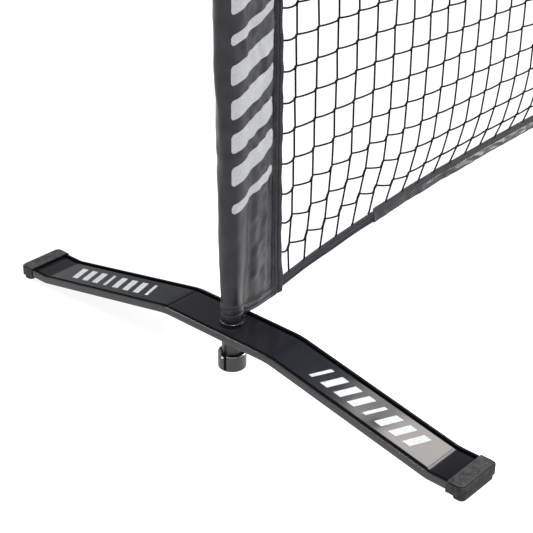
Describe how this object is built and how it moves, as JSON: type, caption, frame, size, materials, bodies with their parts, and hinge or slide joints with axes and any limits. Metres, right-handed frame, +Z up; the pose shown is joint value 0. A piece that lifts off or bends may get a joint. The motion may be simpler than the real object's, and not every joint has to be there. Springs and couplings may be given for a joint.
{
  "type": "portable racket-sports net",
  "caption": "Low free-standing knotted net with cloth post sleeves, hanging from a sectional top bar on posts that drop into hubs of arched rubber-tipped feet.",
  "frame": {"origin": "on the floor under the middle of the net, half way along the feet", "axes": "+X along the net towards the right post, +Y along the feet to the rear, +Z up"},
  "size_m": [3.1308, 0.85, 0.914],
  "materials": {
    "foot_paint": "satin black powder coat",
    "gloss_panel": "high gloss black with a plain pale print",
    "cap_rubber": "matt dark grey moulded rubber",
    "moulding": "satin black moulding",
    "tube_paint": "satin black powder coat",
    "bright_steel": "bright plated",
    "spring_steel": "spring steel",
    "sleeve_cloth": "coated woven polyester with a soft sheen and a plain pale print",
    "binding_cloth": "folded and stitched binding",
    "strap_webbing": "plain black webbing",
    "net_cord": "knotted blue-black polyester cord",
    "hem_cloth": "folded coated tape with rows of stitching",
    "band_cloth": "white coated tape"
  },
  "bodies": {
    "hub_left": {"hub_ring_left": "moulding", "retaining_ring_left": "moulding", "socket_tube_left": "tube_paint", "lock_collar_left": "moulding"},
    "foot_left": {"base_bar_left": "foot_paint", "arm_panel_front_left": "gloss_panel", "arm_panel_rear_left": "gloss_panel", "end_cap_front_left": "cap_rubber", "end_cap_rear_left": "cap_rubber"},
    "tab_left": {"release_tab_left": "moulding", "tab_stud_left": "bright_steel"},
    "net_frame": {"post_left": "tube_paint", "post_plug_left": "moulding", "corner_elbow_left": "moulding", "post_sleeve_left": "sleeve_cloth", "edge_binding_left": "binding_cloth", "bottom_strap_left": "strap_webbing", "post_right": "tube_paint", "post_plug_right": "moulding", "corner_elbow_right": "moulding", "post_sleeve_right": "sleeve_cloth", "edge_binding_right": "binding_cloth", "bottom_strap_right": "strap_webbing", "net_mesh": "net_cord", "hem_tape": "hem_cloth", "top_band": "band_cloth", "top_bar_left": "tube_paint", "top_bar_centre": "tube_paint", "top_bar_right": "tube_paint"},
    "corner_button_left": {"corner_button_left": "bright_steel", "corner_spring_left": "spring_steel"},
    "corner_button_right": {"corner_button_right": "bright_steel", "corner_spring_right": "spring_steel"},
    "bar_button_left": {"bar_button_left": "bright_steel", "bar_spring_left": "spring_steel"},
    "bar_button_right": {"bar_button_right": "bright_steel", "bar_spring_right": "spring_steel"},
    "hub_right": {"hub_ring_right": "moulding", "retaining_ring_right": "moulding", "socket_tube_right": "tube_paint", "lock_collar_right": "moulding"},
    "foot_right": {"base_bar_right": "foot_paint", "arm_panel_front_right": "gloss_panel", "arm_panel_rear_right": "gloss_panel", "end_cap_front_right": "cap_rubber", "end_cap_rear_right": "cap_rubber"},
    "tab_right": {"release_tab_right": "moulding", "tab_stud_right": "bright_steel"}
  },
  "joints": [
    {"name": "foot_turn_left", "type": "hinge", "parent": "hub_left", "child": "foot_left", "pos_m": [-1.52618, 0, 0.06], "axis": [0, 0, 1], "range_deg": [-90, 90]},
    {"name": "tab_press_left", "type": "hinge", "parent": "hub_left", "child": "tab_left", "pos_m": [-1.54598, 0.0012, 0.0035], "axis": [0.061, 0.9981, 0], "range_deg": [0, 6], "stiffness_Nm_per_rad": 1},
    {"name": "post_lift_left", "type": "slide", "parent": "hub_left", "child": "net_frame", "axis": [0, 0, 1], "range_m": [0, 0.12]},
    {"name": "post_lift_right", "type": "slide", "parent": "net_frame", "child": "hub_right", "axis": [0, 0, 1], "range_m": [-0.12, 0]},
    {"name": "foot_turn_right", "type": "hinge", "parent": "hub_right", "child": "foot_right", "pos_m": [1.52618, 0, 0.06], "axis": [0, 0, 1], "range_deg": [-90, 90]},
    {"name": "tab_press_right", "type": "hinge", "parent": "hub_right", "child": "tab_right", "pos_m": [1.54598, -0.0012, 0.0035], "axis": [-0.061, -0.9981, 0], "range_deg": [0, 6], "stiffness_Nm_per_rad": 1},
    {"name": "corner_button_press_left", "type": "slide", "parent": "net_frame", "child": "corner_button_left", "axis": [1, 0, 0], "range_m": [0, 0.003], "stiffness_N_per_m": 1500},
    {"name": "corner_button_press_right", "type": "slide", "parent": "net_frame", "child": "corner_button_right", "axis": [-1, 0, 0], "range_m": [0, 0.003], "stiffness_N_per_m": 1500},
    {"name": "bar_button_press_left", "type": "slide", "parent": "net_frame", "child": "bar_button_left", "axis": [0, 1, 0], "range_m": [0, 0.0025], "stiffness_N_per_m": 1500},
    {"name": "bar_button_press_right", "type": "slide", "parent": "net_frame", "child": "bar_button_right", "axis": [0, 1, 0], "range_m": [0, 0.0025], "stiffness_N_per_m": 1500}
  ],
  "couplings": [
    {"joint": "post_lift_right", "follows": "post_lift_left", "ratio": -1}
  ]
}
